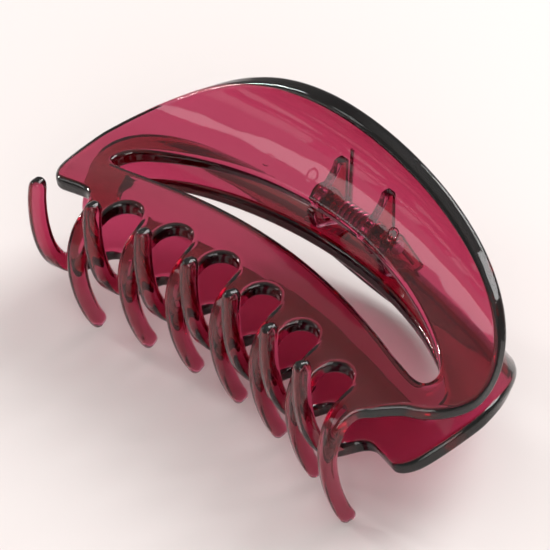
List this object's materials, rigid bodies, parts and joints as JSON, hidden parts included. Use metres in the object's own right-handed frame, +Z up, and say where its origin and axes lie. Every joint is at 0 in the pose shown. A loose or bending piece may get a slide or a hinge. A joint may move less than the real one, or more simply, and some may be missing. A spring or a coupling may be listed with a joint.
{
  "type": "hair claw clip",
  "caption": "Long arched hair claw clip: two matching curved jaws with crescent windows and interlocking teeth, hinged on a steel pin and closed by a coil spring.",
  "frame": {"origin": "middle of the closed clip's footprint, on the surface it lies on", "axes": "+X along the hinge pin and the row of teeth, +Y from the teeth to the hinge, +Z up, the clip closed and lying on its lower jaw"},
  "size_m": [0.108, 0.057, 0.0524],
  "materials": {
    "burgundy_plastic": "glossy translucent",
    "spring_steel": "drawn wire"
  },
  "bodies": {
    "lower": {"lower_jaw": "burgundy_plastic", "hinge_pin": "spring_steel", "spring": "spring_steel"},
    "upper": {"upper_jaw": "burgundy_plastic"}
  },
  "joints": [
    {"name": "jaw_hinge", "type": "hinge", "parent": "lower", "child": "upper", "pos_m": [0, 0.01852, 0.02592], "axis": [-1, 0, 0], "range_deg": [0, 80], "stiffness_Nm_per_rad": 0.2, "springref_deg": -34.38, "deforming": ["spring"]}
  ]
}
